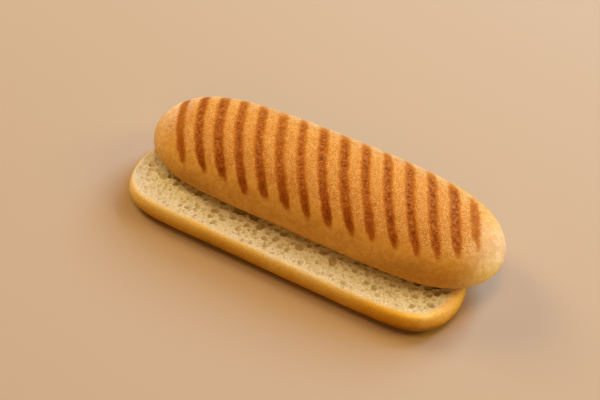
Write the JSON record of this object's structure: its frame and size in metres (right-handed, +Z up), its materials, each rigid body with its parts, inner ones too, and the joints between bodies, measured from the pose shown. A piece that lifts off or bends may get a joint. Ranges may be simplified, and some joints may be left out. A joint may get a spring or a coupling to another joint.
{
  "type": "panini roll",
  "caption": "Long split bread roll with a grill-marked domed top lying cut side down, set back on a thin bottom slab so that open crumb shows along the front.",
  "frame": {"origin": "under the middle of the whole roll, on the level that it stands on", "axes": "+X along the roll, +Y towards the side that the top half is set back to, +Z up"},
  "size_m": [0.2605, 0.1049, 0.0588],
  "materials": {
    "crumb_and_crust": "open cream bread crumb with a satin golden crust round its side",
    "grilled_crust": "satin golden bread crust with reddish brown grill marks"
  },
  "bodies": {
    "root": {"bottom_half": "crumb_and_crust", "top_half": "grilled_crust"}
  },
  "joints": []
}
